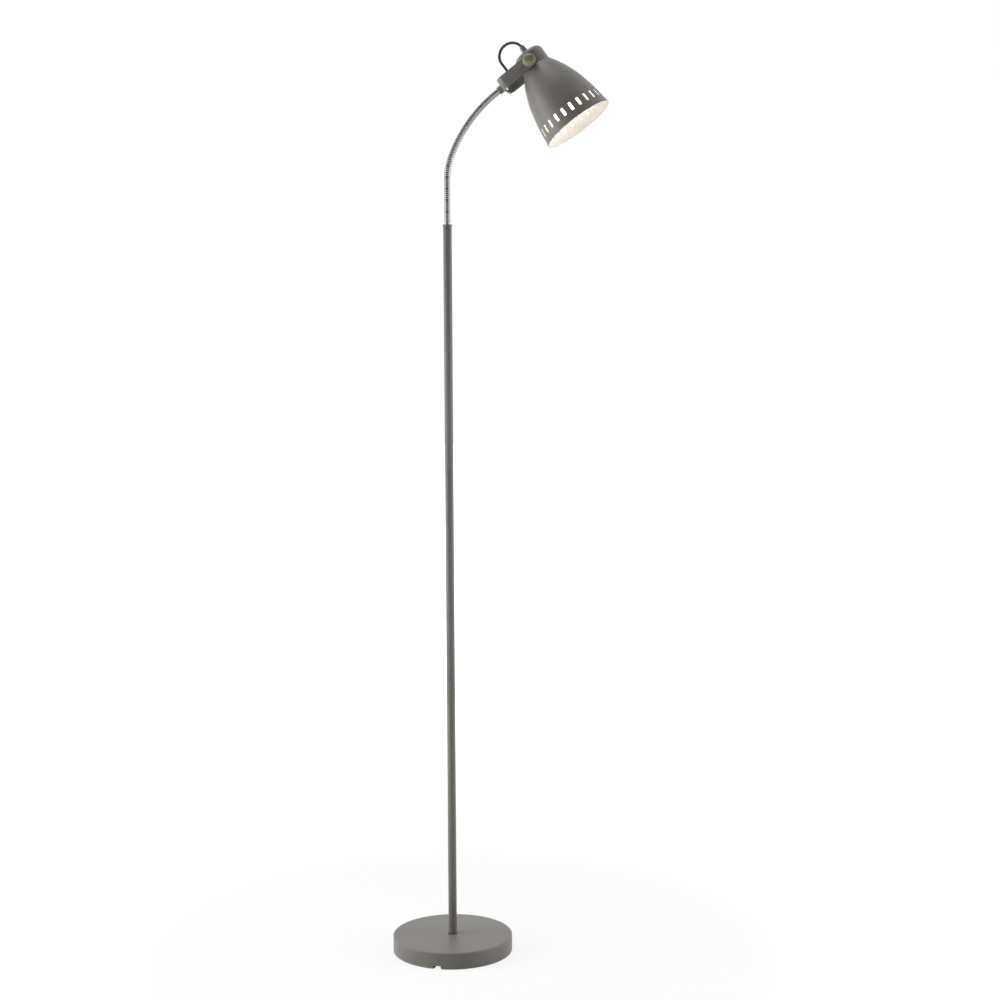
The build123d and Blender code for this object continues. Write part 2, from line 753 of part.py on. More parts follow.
knob_start = arm_outside + arm_play + arm_washer_thickness
knob_end = knob_start + knob_length
for side, side_name in ((-1, "front"), (1, "back")):
    with BuildPart() as arm_washer:
        with BuildSketch(arm_side.offset(-side * (arm_outside + arm_play))):
            Circle(arm_washer_radius)
            Circle(pivot_stud_radius + insert_play, mode=Mode.SUBTRACT)
        extrude(amount=-side * arm_washer_thickness)
    arm_washer.part.label = f"arm_washer_{side_name}"
    export_step(arm_washer.part, f"parts/arm_washer_{side_name}.step")

    with BuildPart() as pivot_stud:
        with BuildSketch(arm_side.offset(-side * stud_inner_reach)):
            Circle(pivot_stud_radius)
        extrude(amount=-side * (knob_end - knob_stud_cover - stud_inner_reach))
    pivot_stud.part.label = f"pivot_stud_{side_name}"
    export_step(pivot_stud.part, f"parts/pivot_stud_{side_name}.step")

    with BuildPart() as knob:
        with BuildSketch(arm_side.offset(-side * knob_start)):
            Circle(knob_diameter / 2)
        extrude(amount=-side * knob_length)
        chamfer(knob.edges().sort_by(Axis.Y)[-1 if side > 0 else 0], knob_edge)
        with BuildSketch(arm_side.offset(-side * knob_start)):
            with PolarLocations(knob_diameter / 2 + knob_flute_radius - knob_flute_depth, knob_flutes):
                Circle(knob_flute_radius)
        extrude(amount=-side * knob_length, mode=Mode.SUBTRACT)
        with BuildSketch(arm_side.offset(-side * knob_start)):
            Circle(pivot_stud_radius + insert_play)
        extrude(amount=-side * (knob_length - knob_stud_cover), mode=Mode.SUBTRACT)
    knob.part.label = f"knob_{side_name}"
    export_step(knob.part, f"parts/knob_{side_name}.step")

# ---- Files --------------------------------------------------------------------------------------

for name, built in (
    ("base_pad", base_pad),
    ("base_weight", base_weight),
    ("base_cover", base_cover),
    ("base_stud", base_stud),
    ("base_washer", base_washer),
    ("base_nut", base_nut),
    ("cord_bush", cord_bush),
    ("foot_washer", foot_washer),
    ("foot_bush", foot_bush),
    ("pole_end_bush", pole_end_bush),
    ("neck_stem", neck_stem),
    ("neck_ferrule", neck_ferrule),
    ("yoke", yoke),
    ("yoke_tail", yoke_tail),
    ("yoke_nut", yoke_nut),
    ("cable_bush", cable_bush),
    ("head_cable", head_cable),
    ("shade", shade),
    ("cap", cap),
    ("pivot_spacers", pivot_spacers),
    ("pivot_nuts", pivot_nuts),
    ("lampholder_shell", lampholder_shell),
    ("shade_ring", shade_ring),
    ("lampholder_sleeve", lampholder_sleeve),
    ("lampholder_block", lampholder_block),
    ("lampholder_contact", lampholder_contact),
    ("grip_nipple", grip_nipple),
    ("cap_nut", cap_nut),
    ("cord_grip", cord_grip),
    ("bulb_glass", bulb_glass),
    ("bulb_cap", bulb_cap),
    ("bulb_contact", bulb_contact),
):
    built.part.label = name
    export_step(built.part, f"parts/{name}.step")
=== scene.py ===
from math import asin, atan2, cos, pi, radians, sin, sqrt

import bmesh
import bpy
from mathutils import Matrix, Vector


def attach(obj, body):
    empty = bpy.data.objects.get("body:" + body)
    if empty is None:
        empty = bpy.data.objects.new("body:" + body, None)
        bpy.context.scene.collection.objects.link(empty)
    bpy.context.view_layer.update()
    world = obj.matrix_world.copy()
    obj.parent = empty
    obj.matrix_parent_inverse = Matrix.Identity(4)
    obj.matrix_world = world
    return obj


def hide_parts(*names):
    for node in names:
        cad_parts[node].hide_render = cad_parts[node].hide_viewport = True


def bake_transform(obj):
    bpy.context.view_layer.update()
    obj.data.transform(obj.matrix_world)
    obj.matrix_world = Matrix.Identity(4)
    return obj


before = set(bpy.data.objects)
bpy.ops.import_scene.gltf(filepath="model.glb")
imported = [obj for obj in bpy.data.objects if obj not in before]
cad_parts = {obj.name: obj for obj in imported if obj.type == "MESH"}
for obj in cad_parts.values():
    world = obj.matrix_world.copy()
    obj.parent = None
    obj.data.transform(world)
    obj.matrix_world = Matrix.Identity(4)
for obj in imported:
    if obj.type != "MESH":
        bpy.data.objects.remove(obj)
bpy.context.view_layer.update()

# The camera stands at the photograph's angle: just over a metre up, three metres off the lamp's -Y
# side and a little towards the head.
camera_data = bpy.data.cameras.new("studio_camera")
camera_data.lens = 65.53
camera_data.sensor_width = 36.0
camera_data.clip_end = 50.0
camera = bpy.data.objects.new("studio_camera", camera_data)
camera.location = (0.76715, -2.88360, 1.05766)
camera.rotation_euler = (radians(84.3265), radians(0.2810), radians(13.2721))
bpy.context.collection.objects.link(camera)
bpy.context.scene.camera = camera


class Finish:
    """One output socket of a material, with arithmetic that adds the Math nodes."""

    def __init__(self, tree, socket=None):
        self.tree = tree
        self.socket = socket

    def node(self, kind, settings=None, inputs=None, output=0):
        """Add a node of any kind, set it up and feed it, and give one of its outputs."""
        made = self.tree.nodes.new(kind)
        for name, value in (settings or {}).items():
            setattr(made, name, value)
        for name, value in (inputs or {}).items():
            if isinstance(value, Finish):
                self.tree.links.new(value.socket, made.inputs[name])
            else:
                made.inputs[name].default_value = value
        return Finish(self.tree, made.outputs[output])

    def sum(self, operation, first, second):
        """Add one Math node and give its value."""
        return self.node("ShaderNodeMath", {"operation": operation}, {0: first, 1: second})

    def __add__(self, other):
        return self.sum("ADD", self, other)

    def __radd__(self, other):
        return self.sum("ADD", other, self)

    def __sub__(self, other):
        return self.sum("SUBTRACT", self, other)

    def __rsub__(self, other):
        return self.sum("SUBTRACT", other, self)

    def __mul__(self, other):
        return self.sum("MULTIPLY", self, other)

    def __rmul__(self, other):
        return self.sum("MULTIPLY", other, self)


def new_finish(name):
    """Start a material: give it, its Principled shader and the piece's own coordinates."""
    made = bpy.data.materials.new(name)
    made.use_nodes = True
    shader = made.node_tree.nodes["Principled BSDF"]
    start = Finish(made.node_tree)
    place = start.node("ShaderNodeTexCoord", output="Object")
    return made, shader, place


def grain(place, size, detail=2.0, rough=0.5):
    """Noise over the piece whose cells are about the given size in metres."""
    return place.node(
        "ShaderNodeTexNoise",
        {},
        {"Vector": place, "Scale": 1.0 / size, "Detail": detail, "Roughness": rough},
    )


def blend_colours(amount, first, second):
    """A colour between two, by an amount from 0 to 1."""
    return amount.node(
        "ShaderNodeMix",
        {"data_type": "RGBA"},
        {"Factor": amount, 6: first, 7: second},
        output=2,
    )


def ramp(value, low, high):
    """Stretch a value so that low becomes 0 and high becomes 1, held between them."""
    return value.node(
        "ShaderNodeMapRange",
        {"clamp": True},
        {"Value": value, "From Min": low, "From Max": high, "To Min": 0.0, "To Max": 1.0},
    )


def mottled(noise, low, high, dark, light):
    """A colour that goes from a dark to a light one as a noise goes from low to high."""
    return blend_colours(ramp(noise, low, high), (*dark, 1), (*light, 1))


def feed(shader, name, value):
    """Link or set one socket of the Principled shader."""
    if isinstance(value, Finish):
        value.tree.links.new(value.socket, shader.inputs[name])
    else:
        shader.inputs[name].default_value = value


def raise_bumps(shader, height, depth):
    """Give the shader a bump of a height field, its depth in metres."""
    settings = {"Height": height, "Distance": depth, "Strength": 1.0}
    feed(shader, "Normal", height.node("ShaderNodeBump", {}, settings))


def smooth_but(bm, limit):
    """Shade a mesh smooth except over edges that turn more than a limit in degrees."""
    for face in bm.faces:
        face.smooth = True
    for edge in bm.edges:
        edge.smooth = len(edge.link_faces) == 2 and edge.calc_face_angle(0.0) < radians(limit)


def finish_piece(name, bm, finishes, body, replaced=(), limit=32.0, outward=True):
    """Turn a bmesh into a finished piece that rides on a body and stands for its nodes."""
    if outward:
        bmesh.ops.recalc_face_normals(bm, faces=bm.faces)
    smooth_but(bm, limit)
    mesh = bpy.data.meshes.new(name)
    bm.to_mesh(mesh)
    bm.free()
    piece = bpy.data.objects.new(name, mesh)
    bpy.context.collection.objects.link(piece)
    for each in finishes:
        mesh.materials.append(each)
    if body:
        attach(piece, body)
    if replaced:
        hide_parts(*replaced)
    return piece


# Head cable: a black rubber sheathed flex that leaves the hollow tail of the yoke, climbs beside
# the cap and loops over into the cord grip. It is held at both ends.
CABLE_DIAMETER = 0.0044
ARM_RISE = radians(36.6)
PIVOT = Vector((0.143721, 0.0, 1.462914))
ALONG = Vector((cos(ARM_RISE), 0.0, sin(ARM_RISE)))
UP_SHADE = Vector((-sin(ARM_RISE), 0.0, cos(ARM_RISE)))
cable_route = [
    (-0.06104, 0.0),
    (-0.05304, 0.0),
    (-0.04604, 0.00388),
    (-0.04180, 0.01066),
    (-0.04092, 0.02323),
    (-0.04180, 0.03580),
    (-0.03620, 0.04550),
    (-0.02650, 0.05110),
    (-0.01530, 0.05110),
    (-0.00560, 0.04550),
    (0.0, 0.03580),
    (0.0, 0.02740),
]
route = bpy.data.curves.new("head_cable_route", "CURVE")
route.dimensions = "3D"
route.resolution_u = 10
spline = route.splines.new("NURBS")
spline.points.add(len(cable_route) - 1)
for point, (across, rise) in zip(spline.points, cable_route):
    place = PIVOT + ALONG * across + UP_SHADE * rise
    point.co = (place.x, place.y, place.z, 1.0)
spline.order_u = 3
spline.use_endpoint_u = True
route_object = bpy.data.objects.new("head_cable_route", route)
bpy.context.collection.objects.link(route_object)
line_mesh = bpy.data.meshes.new_from_object(route_object)
route.bevel_depth = CABLE_DIAMETER / 2
route.bevel_resolution = 5
route.use_fill_caps = True
tube_mesh = bpy.data.meshes.new_from_object(route_object)
bpy.data.objects.remove(route_object)

black_rubber, shader, place = new_finish("black_rubber")
scuff = grain(place, 0.004, detail=4.0)
feed(shader, "Base Color", mottled(scuff, 0.35, 0.75, (0.018, 0.018, 0.019), (0.034, 0.034, 0.035)))
feed(shader, "Roughness", 0.42 + scuff * 0.16)
raise_bumps(shader, grain(place, 0.0006), 0.00004)

bm = bmesh.new()
bm.from_mesh(tube_mesh)
bmesh.ops.remove_doubles(bm, verts=bm.verts, dist=0.00001)
cable = finish_piece(
    "head_cable_flex", bm, [black_rubber], None, ["head_cable"], limit=60.0
)
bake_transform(cable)

# Base: a pressed steel cover with a rounded top edge, powder coated warm grey, over an iron weight.
# A small notch is cut in its bottom edge at the -Y side.
PAINT_DARK = (0.212, 0.199, 0.181)
PAINT_LIGHT = (0.236, 0.222, 0.203)
PAINT_SPECK = (0.25, 0.238, 0.22, 1)
MERGE = 0.000002


def powder_coat(name):
    """Satin powder coat: even colour, a fine orange-peel surface and a few duller patches."""
    made, shader, place = new_finish(name)
    clouds = grain(place, 0.05, detail=3.0)
    speck = grain(place, 0.0011, detail=1.0)
    even = mottled(clouds, 0.3, 0.7, PAINT_DARK, PAINT_LIGHT)
    feed(shader, "Base Color", blend_colours(ramp(speck, 0.35, 0.65) * 0.25, even, PAINT_SPECK))
    feed(shader, "Roughness", 0.4 + clouds * 0.1)
    peel = grain(place, 0.0014, detail=1.0) + grain(place, 0.0004, detail=0.0) * 0.4
    raise_bumps(shader, peel, 0.00006)
    return made


def solid_copy(node):
    """A clean copy of a node's mesh: doubles merged and flat areas joined into single faces."""
    bm = bmesh.new()
    bm.from_mesh(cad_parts[node].data)
    bmesh.ops.remove_doubles(bm, verts=bm.verts, dist=MERGE)
    bmesh.ops.dissolve_limit(bm, angle_limit=radians(0.4), verts=bm.verts, edges=bm.edges)
    return bm


def coat_nodes(finish, *names):
    """Give CAD nodes that are shown as they are their finish."""
    for name in names:
        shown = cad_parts[name]
        shown.data.materials.clear()
        shown.data.materials.append(finish)


def cut_along(bm, point, normal):
    """Cut every face that a plane meets in two."""
    everything = bm.verts[:] + bm.edges[:] + bm.faces[:]
    bmesh.ops.bisect_plane(bm, geom=everything, plane_co=point, plane_no=normal)


grey_paint = powder_coat("grey_powder_coat")
bm = solid_copy("base_cover")
finish_piece(
    "base_cover_shell",
    bm,
    [grey_paint],
    "stand",
    ["base_cover"],
    limit=30.0,
    outward=False,
)

black_foam, shader, place = new_finish("black_foam")
cells = place.node("ShaderNodeTexVoronoi", {}, {"Vector": place, "Scale": 900.0})
feed(shader, "Base Color", mottled(cells, 0.1, 0.7, (0.012, 0.012, 0.012), (0.03, 0.03, 0.03)))
feed(shader, "Roughness", 0.85)
raise_bumps(shader, cells, 0.0002)

cast_iron, shader, place = new_finish("cast_iron")
sand = grain(place, 0.0016, detail=5.0, rough=0.7)
feed(shader, "Base Color", mottled(sand, 0.3, 0.7, (0.03, 0.03, 0.031), (0.075, 0.072, 0.07)))
feed(shader, "Metallic", 0.5)
feed(shader, "Roughness", 0.6 + sand * 0.3)
raise_bumps(shader, sand, 0.0003)

zinc_steel, shader, place = new_finish("zinc_steel")
spangle = grain(place, 0.003, detail=3.0)
feed(shader, "Base Color", mottled(spangle, 0.3, 0.7, (0.52, 0.52, 0.5), (0.64, 0.64, 0.63)))
feed(shader, "Metallic", 1.0)
feed(shader, "Roughness", 0.28 + spangle * 0.16)
raise_bumps(shader, grain(place, 0.0008), 0.00003)

black_plastic, shader, place = new_finish("black_plastic")
mould = grain(place, 0.0009, detail=2.0)
feed(shader, "Base Color", mottled(mould, 0.35, 0.65, (0.016, 0.016, 0.016), (0.024, 0.024, 0.024)))
feed(shader, "Roughness", 0.45 + mould * 0.15)
raise_bumps(shader, mould, 0.00004)


PAD_RADIUS, PAD_THICKNESS = 0.095, 0.0015
PAD_NOTCH_HALF, PAD_NOTCH_END = 0.007, -0.076
bm = bmesh.new()
bmesh.ops.create_cone(
    bm,
    cap_ends=True,
    segments=96,
    radius1=PAD_RADIUS,
    radius2=PAD_RADIUS,
    depth=PAD_THICKNESS,
    matrix=Matrix.Translation((0, 0, PAD_THICKNESS / 2)),
)
cut_along(bm, (-PAD_NOTCH_HALF, 0, 0), (1, 0, 0))
cut_along(bm, (PAD_NOTCH_HALF, 0, 0), (1, 0, 0))
cut_along(bm, (0, PAD_NOTCH_END, 0), (0, 1, 0))
notched = []
for face in bm.faces:
    middle = face.calc_center_median()
    if abs(middle.x) < PAD_NOTCH_HALF and middle.y < PAD_NOTCH_END:
        notched.append(face)
bmesh.ops.delete(bm, geom=notched, context="FACES")
bmesh.ops.bridge_loops(bm, edges=[edge for edge in bm.edges if len(edge.link_faces) == 1])
finish_piece("base_foam_pad", bm, [black_foam], "stand", ["base_pad"])
coat_nodes(cast_iron, "base_weight")
coat_nodes(zinc_steel, "base_stud", "base_washer", "base_nut")
coat_nodes(black_plastic, "cord_bush")

# Column: three drawn steel tubes, powder coated, screwed end to end on sleeves, standing on a thin
# plastic washer. The joints show as hairlines. A turned bush with a small rim closes the top.
POLE_RADIUS = 0.007
POLE_BORE = 0.0058
POLE_FOOT = 0.029
POLE_SECTION = 0.3928
POLE_TOP = POLE_FOOT + 3 * POLE_SECTION
SPIN_MERGE = 0.0000005


def turned(profile, steps, place=None):
    """Spin a closed outline of (radius, height) points into a ring or cup."""
    bm = bmesh.new()
    corners = [bm.verts.new((radius, 0.0, height)) for radius, height in profile]
    for first, second in zip(corners, corners[1:] + corners[:1]):
        bm.edges.new((first, second))
    bmesh.ops.spin(
        bm,
        geom=bm.verts[:] + bm.edges[:],
        cent=(0, 0, 0),
        axis=(0, 0, 1),
        angle=2 * pi,
        steps=steps,
        use_merge=True,
    )
    bmesh.ops.remove_doubles(bm, verts=bm.verts, dist=SPIN_MERGE)
    if place:
        bmesh.ops.transform(bm, matrix=place, verts=bm.verts)
    return bm


def rounded(corner, before, after, radius, parts=4):
    """Points of a small round at a corner of an outline."""
    corner, before, after = Vector(corner), Vector(before), Vector(after)
    to_before, to_after = (before - corner).normalized(), (after - corner).normalized()
    half = to_before.angle(to_after) / 2
    reach = radius / sin(half) * cos(half)
    middle = corner + (to_before + to_after).normalized() * (radius / sin(half))
    start, end = corner + to_before * reach - middle, corner + to_after * reach - middle
    points = []
    for part in range(parts + 1):
        lean = start.lerp(end, part / parts).normalized() * radius
        points.append(tuple(middle + lean))
    return points


def outline(corners, rounds, parts=4):
    """A closed outline with some of its corners rounded: rounds holds corner number to radius."""
    points = []
    for number, corner in enumerate(corners):
        if number in rounds:
            before, after = corners[number - 1], corners[(number + 1) % len(corners)]
            points += rounded(corner, before, after, rounds[number], parts)
        else:
            points.append(corner)
    return points


for index, node in enumerate(("pole_lower", "pole_middle", "pole_upper")):
    low = POLE_FOOT + index * POLE_SECTION
    high = low + POLE_SECTION
    corners = [(POLE_BORE, low), (POLE_RADIUS, low), (POLE_RADIUS, high), (POLE_BORE, high)]
    bm = turned(outline(corners, {1: 0.0003, 2: 0.0003}, parts=2), 48)
    finish_piece(node + "_tube", bm, [grey_paint], "stand", [node])

WASHER_BORE, WASHER_RADIUS = 0.00505, 0.0079
WASHER_FOOT = POLE_FOOT - 0.001
corners = [
    (WASHER_BORE, WASHER_FOOT),
    (WASHER_RADIUS, WASHER_FOOT),
    (WASHER_RADIUS, POLE_FOOT),
    (WASHER_BORE, POLE_FOOT),
]
bm = turned(outline(corners, {2: 0.0004}, parts=2), 48)
finish_piece("foot_washer_ring", bm, [black_plastic], "stand", ["foot_washer"])

COLLAR_BORE, COLLAR_SPIGOT, COLLAR_RADIUS = 0.00405, 0.00575, 0.0078
SPIGOT_FOOT = POLE_TOP - 0.018
COLLAR_TOP = POLE_TOP + 0.0035
corners = [
    (COLLAR_BORE, SPIGOT_FOOT),
    (COLLAR_SPIGOT, SPIGOT_FOOT),
    (COLLAR_SPIGOT, POLE_TOP),
    (COLLAR_RADIUS, POLE_TOP),
    (COLLAR_RADIUS, COLLAR_TOP),
    (COLLAR_BORE, COLLAR_TOP),
]
bm = turned(outline(corners, {3: 0.0005, 4: 0.0008}), 48)
finish_piece("pole_end_collar", bm, [grey_paint], "stand", ["pole_end_bush"])
coat_nodes(zinc_steel, "foot_bush", "pole_joiner_lower", "pole_joiner_upper")

# Gooseneck: a close-wound steel strip, chrome plated and satin, that holds any curve it is bent to.
# It is made in thirteen stiff links. At each hinge a ball on the lower link sits in the socket of
# the next one, so the narrow gap between them stays closed inside at every bend.
NECK_FOOT = 1.2130
NECK_RADIUS = 0.005
NECK_BORE = 0.0031
WINDING_DEPTH = 0.0003
WINDING_TURNS = 6
GROOVE_POWER = 0.55
LINK_GAP = 0.00045
BALL_RADIUS = 0.0043
SOCKET_RADIUS = 0.00455
SOCKET_DEPTH = 0.0033
neck_course = (
    (0.0678, None),
    (0.1063 * radians(22.3), 0.1063),
    (0.2287 * radians(31.1), 0.2287),
    (0.0045, None),
)
NECK_LENGTH = sum(length for length, radius in neck_course)
LINKS = 13
LINK = NECK_LENGTH / LINKS
WINDING_PITCH = LINK / WINDING_TURNS
LINK_RINGS, BORE_RINGS, NECK_SIDES = 54, 8, 28
BALL_STEP = radians(6)


def neck_place(travel):
    """The middle of the neck and its lean at a distance from its foot."""
    x, z, lean = 0.0, NECK_FOOT, 0.0
    for length, radius in neck_course:
        step = max(0.0, min(travel, length))
        travel -= step
        if radius is None:
            x += step * sin(lean)
            z += step * cos(lean)
        else:
            turned_lean = lean + step / radius
            x += radius * (cos(lean) - cos(turned_lean))
            z += radius * (sin(turned_lean) - sin(lean))
            lean = turned_lean
    return x, z, lean


def wound_link(number):
    """One bent link: the strip's groove outside, a ball at its top and a socket at its foot."""
    first, last = number == 1, number == LINKS
    foot_hinge, top_hinge = (number - 1) * LINK, number * LINK
    start = foot_hinge if first else foot_hinge + LINK_GAP
    end = top_hinge if last else top_hinge - LINK_GAP
    profile = []
    for ring in range(LINK_RINGS + 1):
        profile.append((NECK_RADIUS, start + (end - start) * ring / LINK_RINGS))
    bore_top, bore_foot = end, start
    if not last:
        for part in range(-1, 7):
            turn = BALL_STEP * part
            profile.append((BALL_RADIUS * cos(turn), top_hinge + BALL_RADIUS * sin(turn)))
        bore_top = profile[-1][1]
    if not first:
        bore_foot = foot_hinge + SOCKET_DEPTH
    for ring in range(BORE_RINGS + 1):
        profile.append((NECK_BORE, bore_top + (bore_foot - bore_top) * ring / BORE_RINGS))
    if not first:
        profile += [(SOCKET_RADIUS, bore_foot), (SOCKET_RADIUS, start)]
    bm = turned(profile, NECK_SIDES)
    for vertex in bm.verts:
        travel = vertex.co.z
        radius = sqrt(vertex.co.x**2 + vertex.co.y**2)
        angle = atan2(vertex.co.y, vertex.co.x)
        if radius > (NECK_RADIUS + SOCKET_RADIUS) / 2:
            phase = travel / WINDING_PITCH - angle / (2 * pi)
            radius = NECK_RADIUS - WINDING_DEPTH * (1.0 - abs(sin(pi * phase)) ** GROOVE_POWER)
        x, z, lean = neck_place(travel)
        across = radius * cos(angle)
        vertex.co = (x + across * cos(lean), radius * sin(angle), z - across * sin(lean))
    return bm


satin_chrome, shader, place = new_finish("satin_chrome")
wipe = grain(place, 0.006, detail=3.0)
feed(shader, "Base Color", mottled(wipe, 0.3, 0.7, (0.23, 0.223, 0.212), (0.29, 0.282, 0.27)))
feed(shader, "Metallic", 1.0)
feed(shader, "Roughness", 0.24 + wipe * 0.08)
raise_bumps(shader, grain(place, 0.0005), 0.00002)

neck_bodies = ["stand"] + [f"neck_{number}" for number in range(2, LINKS)] + ["yoke"]
for number, body in enumerate(neck_bodies, 1):
    name, node = f"neck_winding_{number}", f"neck_link_{number}"
    finish_piece(name, wound_link(number), [satin_chrome], body, [node], limit=75.0)
coat_nodes(satin_chrome, "neck_stem")

# Yoke: a steel strip bent to a U, with round eyes at the knobs. A turned ferrule, a hollow threaded
# tail and a nut hold its web to the gooseneck, and a plastic bush guards the cable.
arm_place = Matrix.Translation(PIVOT) @ Matrix((ALONG, (0, 1, 0), UP_SHADE)).transposed().to_4x4()
neck_axis_place = arm_place @ Matrix.Rotation(radians(90.0), 4, "Y")
WEB = -0.0619
FERRULE_BORE, FERRULE_SOCKET, FERRULE_RADIUS = 0.00345, 0.00505, 0.0066
FERRULE_FOOT = WEB - 0.009
FERRULE_SEAT = WEB - 0.005
corners = [
    (FERRULE_BORE, FERRULE_FOOT),
    (FERRULE_RADIUS, FERRULE_FOOT),
    (FERRULE_RADIUS, WEB),
    (FERRULE_SOCKET, WEB),
    (FERRULE_SOCKET, FERRULE_SEAT),
    (FERRULE_BORE, FERRULE_SEAT),
]
bm = turned(outline(corners, {1: 0.001, 2: 0.0003}), 48, neck_axis_place)
finish_piece("neck_ferrule_collar", bm, [grey_paint], "yoke", ["neck_ferrule"])

EDGE_ROUND = 0.00035
bm = solid_copy("yoke")
sharp = [
    edge
    for edge in bm.edges
    if len(edge.link_faces) == 2 and edge.calc_face_angle(0.0) > radians(30.0)
]
bmesh.ops.bevel(
    bm,
    geom=sharp,
    offset=EDGE_ROUND,
    affect="EDGES",
    segments=2,
    profile=0.5,
    material=-1,
    clamp_overlap=True,
)
finish_piece("yoke_strip", bm, [grey_paint], "yoke", ["yoke"], limit=28.0, outward=False)
coat_nodes(zinc_steel, "yoke_tail", "yoke_nut")
coat_nodes(black_plastic, "cable_bush")

# Shade: a spun steel bell, powder coated grey outside and white inside, with a rolled hem and a row
# of punched slots round its mouth. Its flange is clamped between the lampholder and its ring.
BELL_TOP = 0.1138
PIVOT_ABOVE_BELL = 0.0085
head_place = Matrix.Translation(UP_SHADE * -(BELL_TOP + PIVOT_ABOVE_BELL)) @ arm_place
SLOTS = 24
SLOT_HALF = 0.0022
SLOT_RADIUS = 0.0565
FIRST_SLOT = radians(12.5)
SLOT_LOW, SLOT_HIGH = 0.0125, 0.0255
bell_heights = (
    (0.0590, 0.0),
    (0.0588, 0.0012),
    (0.0585, 0.004),
    (0.0578, 0.0085),
    (0.05736, SLOT_LOW),
    (0.0571, 0.0145),
    (0.0565, 0.019),
    (0.0559, 0.0235),
    (0.05565, SLOT_HIGH),
    (0.0553, 0.0285),
    (0.0544, 0.035),
    (0.0531, 0.0415),
    (0.0516, 0.0482),
    (0.0499, 0.0562),
    (0.0479, 0.0643),
    (0.0455, 0.0719),
    (0.0428, 0.0791),
    (0.0391, 0.0880),
    (0.0350, 0.0966),
    (0.0307, 0.1044),
    (0.0273, 0.1102),
    (0.0255, 0.1130),
    (0.0248, 0.1137),
    (0.0237, BELL_TOP),
    (0.0198, BELL_TOP),
)
# One slot's sector is a grid of faces whose edges follow the slot, and spinning it fills the ring.
sector = 2 * pi / SLOTS
slot_turn = asin(SLOT_HALF / SLOT_RADIUS)
turns = [-sector / 2, -slot_turn * 2.1, -slot_turn * 1.3, -slot_turn, -slot_turn * 0.6, 0.0]
turns += [-turn for turn in reversed(turns[:-1])]
bm = bmesh.new()
chain = [bm.verts.new((radius, 0.0, height)) for radius, height in bell_heights]
for first, second in zip(chain, chain[1:]):
    bm.edges.new((first, second))
first_turn = Matrix.Rotation(turns[0] + FIRST_SLOT, 3, "Z")
bmesh.ops.rotate(bm, cent=(0, 0, 0), matrix=first_turn, verts=bm.verts)
edge_line = bm.edges[:]
for before, after in zip(turns, turns[1:]):
    grown = bmesh.ops.extrude_edge_only(bm, edges=edge_line)["geom"]
    edge_line = [item for item in grown if isinstance(item, bmesh.types.BMEdge)]
    moved = [item for item in grown if isinstance(item, bmesh.types.BMVert)]
    next_turn = Matrix.Rotation(after - before, 3, "Z")
    bmesh.ops.rotate(bm, cent=(0, 0, 0), matrix=next_turn, verts=moved)
punched = []
for face in bm.faces:
    middle = face.calc_center_median()
    turn = atan2(middle.y, middle.x) - FIRST_SLOT
    if abs(turn) < slot_turn and SLOT_LOW < middle.z < SLOT_HIGH:
        punched.append(face)
bmesh.ops.delete(bm, geom=punched, context="FACES")
bmesh.ops.spin(
    bm,
    geom=bm.verts[:] + bm.edges[:] + bm.faces[:],
    cent=(0, 0, 0),
    axis=(0, 0, 1),
    angle=2 * pi * (SLOTS - 1) / SLOTS,
    steps=SLOTS - 1,
    use_duplicate=True,
)
bmesh.ops.remove_doubles(bm, verts=bm.verts, dist=0.00002)
bmesh.ops.transform(bm, matrix=head_place, verts=bm.verts)

white_enamel, shader, place = new_finish("white_enamel")
haze = grain(place, 0.02, detail=3.0)
feed(shader, "Base Color", mottled(haze, 0.3, 0.7, (0.80, 0.79, 0.77), (0.86, 0.85, 0.83)))
feed(shader, "Roughness", 0.34 + haze * 0.1)
raise_bumps(shader, grain(place, 0.0012), 0.00004)

BELL_WALL = 0.001
bell = finish_piece(
    "shade_bell", bm, [grey_paint, white_enamel], "head", ["shade"], limit=50.0
)
wall = bell.modifiers.new("wall", "SOLIDIFY")
wall.thickness = BELL_WALL
wall.offset = -1.0
wall.use_even_offset = True
wall.material_offset = 1
wall.material_offset_rim = 0
rounding = bell.modifiers.new("rounding", "SUBSURF")
rounding.levels = 1
rounding.render_levels = 1

# Cap: a drawn steel cup over the lampholder, coated like the shade, with a hole for the nipple.
CAP_TOP = BELL_TOP + 0.0275
CAP_INNER_TOP = CAP_TOP - 0.001
CAP_RADIUS, CAP_INNER_RADIUS, NIPPLE_HOLE = 0.0246, 0.0236, 0.0041
corners = [
    (CAP_INNER_RADIUS, BELL_TOP),
    (CAP_RADIUS, BELL_TOP),
    (CAP_RADIUS, CAP_TOP),
    (NIPPLE_HOLE, CAP_TOP),
    (NIPPLE_HOLE, CAP_INNER_TOP),
    (CAP_INNER_RADIUS, CAP_INNER_TOP),
]
bm = turned(outline(corners, {2: 0.0075, 5: 0.0065}, parts=8), 96, head_place)
finish_piece("cap_cup", bm, [grey_paint], "head", ["cap"])

bm = solid_copy("pivot_spacers")
finish_piece(
    "pivot_spacer_pair",
    bm,
    [black_plastic],
    "head",
    ["pivot_spacers"],
    outward=False,
)
coat_nodes(zinc_steel, "pivot_nuts", "grip_nipple", "cap_nut")

